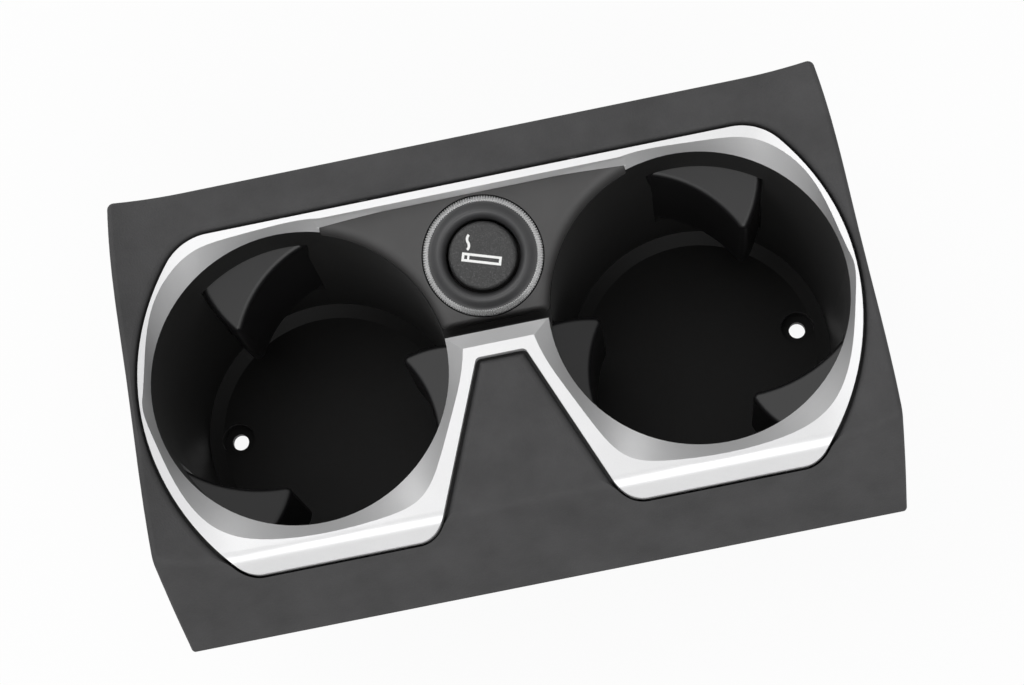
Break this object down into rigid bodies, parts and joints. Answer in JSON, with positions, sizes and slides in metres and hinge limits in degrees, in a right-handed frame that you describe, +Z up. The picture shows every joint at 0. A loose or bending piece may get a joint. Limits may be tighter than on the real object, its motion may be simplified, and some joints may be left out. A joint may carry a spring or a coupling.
{
  "type": "car cup holder",
  "caption": "Console cup holder insert: dark fascia, silver spectacle trim, round cups with sprung gripping flaps and a push-in cigarette lighter on a sloping bridge.",
  "frame": {"origin": "middle of the length and depth, at the bottom of the cups' foot rings", "axes": "+X along the length, +Y towards the fascia's back edge away from the lip, +Z up along the cups' axes"},
  "size_m": [0.2072, 0.1252, 0.0919],
  "materials": {
    "fascia_plastic": "fine matt grain, soft-touch",
    "trim_silver": "satin silver metallised",
    "cup_plastic": "fine matt grain",
    "deck_plastic": "satin",
    "flap_plastic": "satin",
    "spring_steel": "drawn wire",
    "pin_steel": "ground",
    "screw_steel": "zinc plated",
    "ring_chrome": "knurled, bright",
    "bezel_plastic": "satin",
    "knob_plastic": "textured",
    "socket_steel": "plated tube",
    "nut_plastic": "natural nylon",
    "insulator_plastic": "phenolic board",
    "contact_brass": "plain"
  },
  "bodies": {
    "base": {"fascia": "fascia_plastic", "trim_ring": "trim_silver", "cup_housing": "cup_plastic", "bridge_deck": "deck_plastic", "knurl_ring": "ring_chrome", "lighter_bezel": "bezel_plastic", "socket_barrel": "socket_steel", "retaining_nut": "nut_plastic", "socket_insulator": "insulator_plastic", "centre_contact": "contact_brass", "element_clip": "socket_steel", "centre_terminal": "contact_brass", "shell_terminal": "contact_brass", "housing_screw_1": "screw_steel", "housing_screw_2": "screw_steel", "housing_screw_3": "screw_steel", "housing_screw_4": "screw_steel", "housing_screw_5": "screw_steel", "housing_screw_6": "screw_steel", "housing_screw_7": "screw_steel", "console_clip_1": "spring_steel", "console_clip_2": "spring_steel", "console_clip_3": "spring_steel", "console_clip_4": "spring_steel", "hinge_pin_left_1": "pin_steel", "flap_spring_left_1": "spring_steel", "hinge_pin_left_2": "pin_steel", "flap_spring_left_2": "spring_steel", "hinge_pin_left_3": "pin_steel", "flap_spring_left_3": "spring_steel", "hinge_pin_right_1": "pin_steel", "flap_spring_right_1": "spring_steel", "hinge_pin_right_2": "pin_steel", "flap_spring_right_2": "spring_steel", "hinge_pin_right_3": "pin_steel", "flap_spring_right_3": "spring_steel"},
    "flap_left_1": {"flap_left_1": "flap_plastic"},
    "flap_left_2": {"flap_left_2": "flap_plastic"},
    "flap_left_3": {"flap_left_3": "flap_plastic"},
    "flap_right_1": {"flap_right_1": "flap_plastic"},
    "flap_right_2": {"flap_right_2": "flap_plastic"},
    "flap_right_3": {"flap_right_3": "flap_plastic"},
    "lighter_plug": {"lighter_sleeve": "socket_steel", "lighter_spring": "spring_steel"},
    "lighter_button": {"lighter_knob": "knob_plastic", "lighter_element": "socket_steel"}
  },
  "joints": [
    {"name": "flap_left_1_swing", "type": "hinge", "parent": "base", "child": "flap_left_1", "pos_m": [-0.05052, 0.04862, 0.046], "axis": [0, 0, -1], "range_deg": [0, 18], "stiffness_Nm_per_rad": 0.04, "springref_deg": -20.05},
    {"name": "flap_left_2_swing", "type": "hinge", "parent": "base", "child": "flap_left_2", "pos_m": [-0.02171, -0.02269, 0.046], "axis": [0, 0, -1], "range_deg": [0, 18], "stiffness_Nm_per_rad": 0.04, "springref_deg": -20.05},
    {"name": "flap_left_3_swing", "type": "hinge", "parent": "base", "child": "flap_left_3", "pos_m": [-0.09787, -0.01198, 0.046], "axis": [0, 0, -1], "range_deg": [0, 18], "stiffness_Nm_per_rad": 0.04, "springref_deg": -20.05},
    {"name": "flap_right_1_swing", "type": "hinge", "parent": "base", "child": "flap_right_1", "pos_m": [0.05052, 0.04862, 0.046], "axis": [0, 0, 1], "range_deg": [0, 18], "stiffness_Nm_per_rad": 0.04, "springref_deg": -20.05},
    {"name": "flap_right_2_swing", "type": "hinge", "parent": "base", "child": "flap_right_2", "pos_m": [0.02171, -0.02269, 0.046], "axis": [0, 0, 1], "range_deg": [0, 18], "stiffness_Nm_per_rad": 0.04, "springref_deg": -20.05},
    {"name": "flap_right_3_swing", "type": "hinge", "parent": "base", "child": "flap_right_3", "pos_m": [0.09787, -0.01198, 0.046], "axis": [0, 0, 1], "range_deg": [0, 18], "stiffness_Nm_per_rad": 0.04, "springref_deg": -20.05},
    {"name": "lighter_pull", "type": "slide", "parent": "base", "child": "lighter_plug", "axis": [0, -0.1904, 0.9817], "range_m": [0, 0.03]},
    {"name": "lighter_press", "type": "slide", "parent": "lighter_plug", "child": "lighter_button", "axis": [0, 0.1904, -0.9817], "range_m": [0, 0.005], "stiffness_N_per_m": 400, "springref_m": -0.003, "deforming": ["lighter_spring"]}
  ]
}
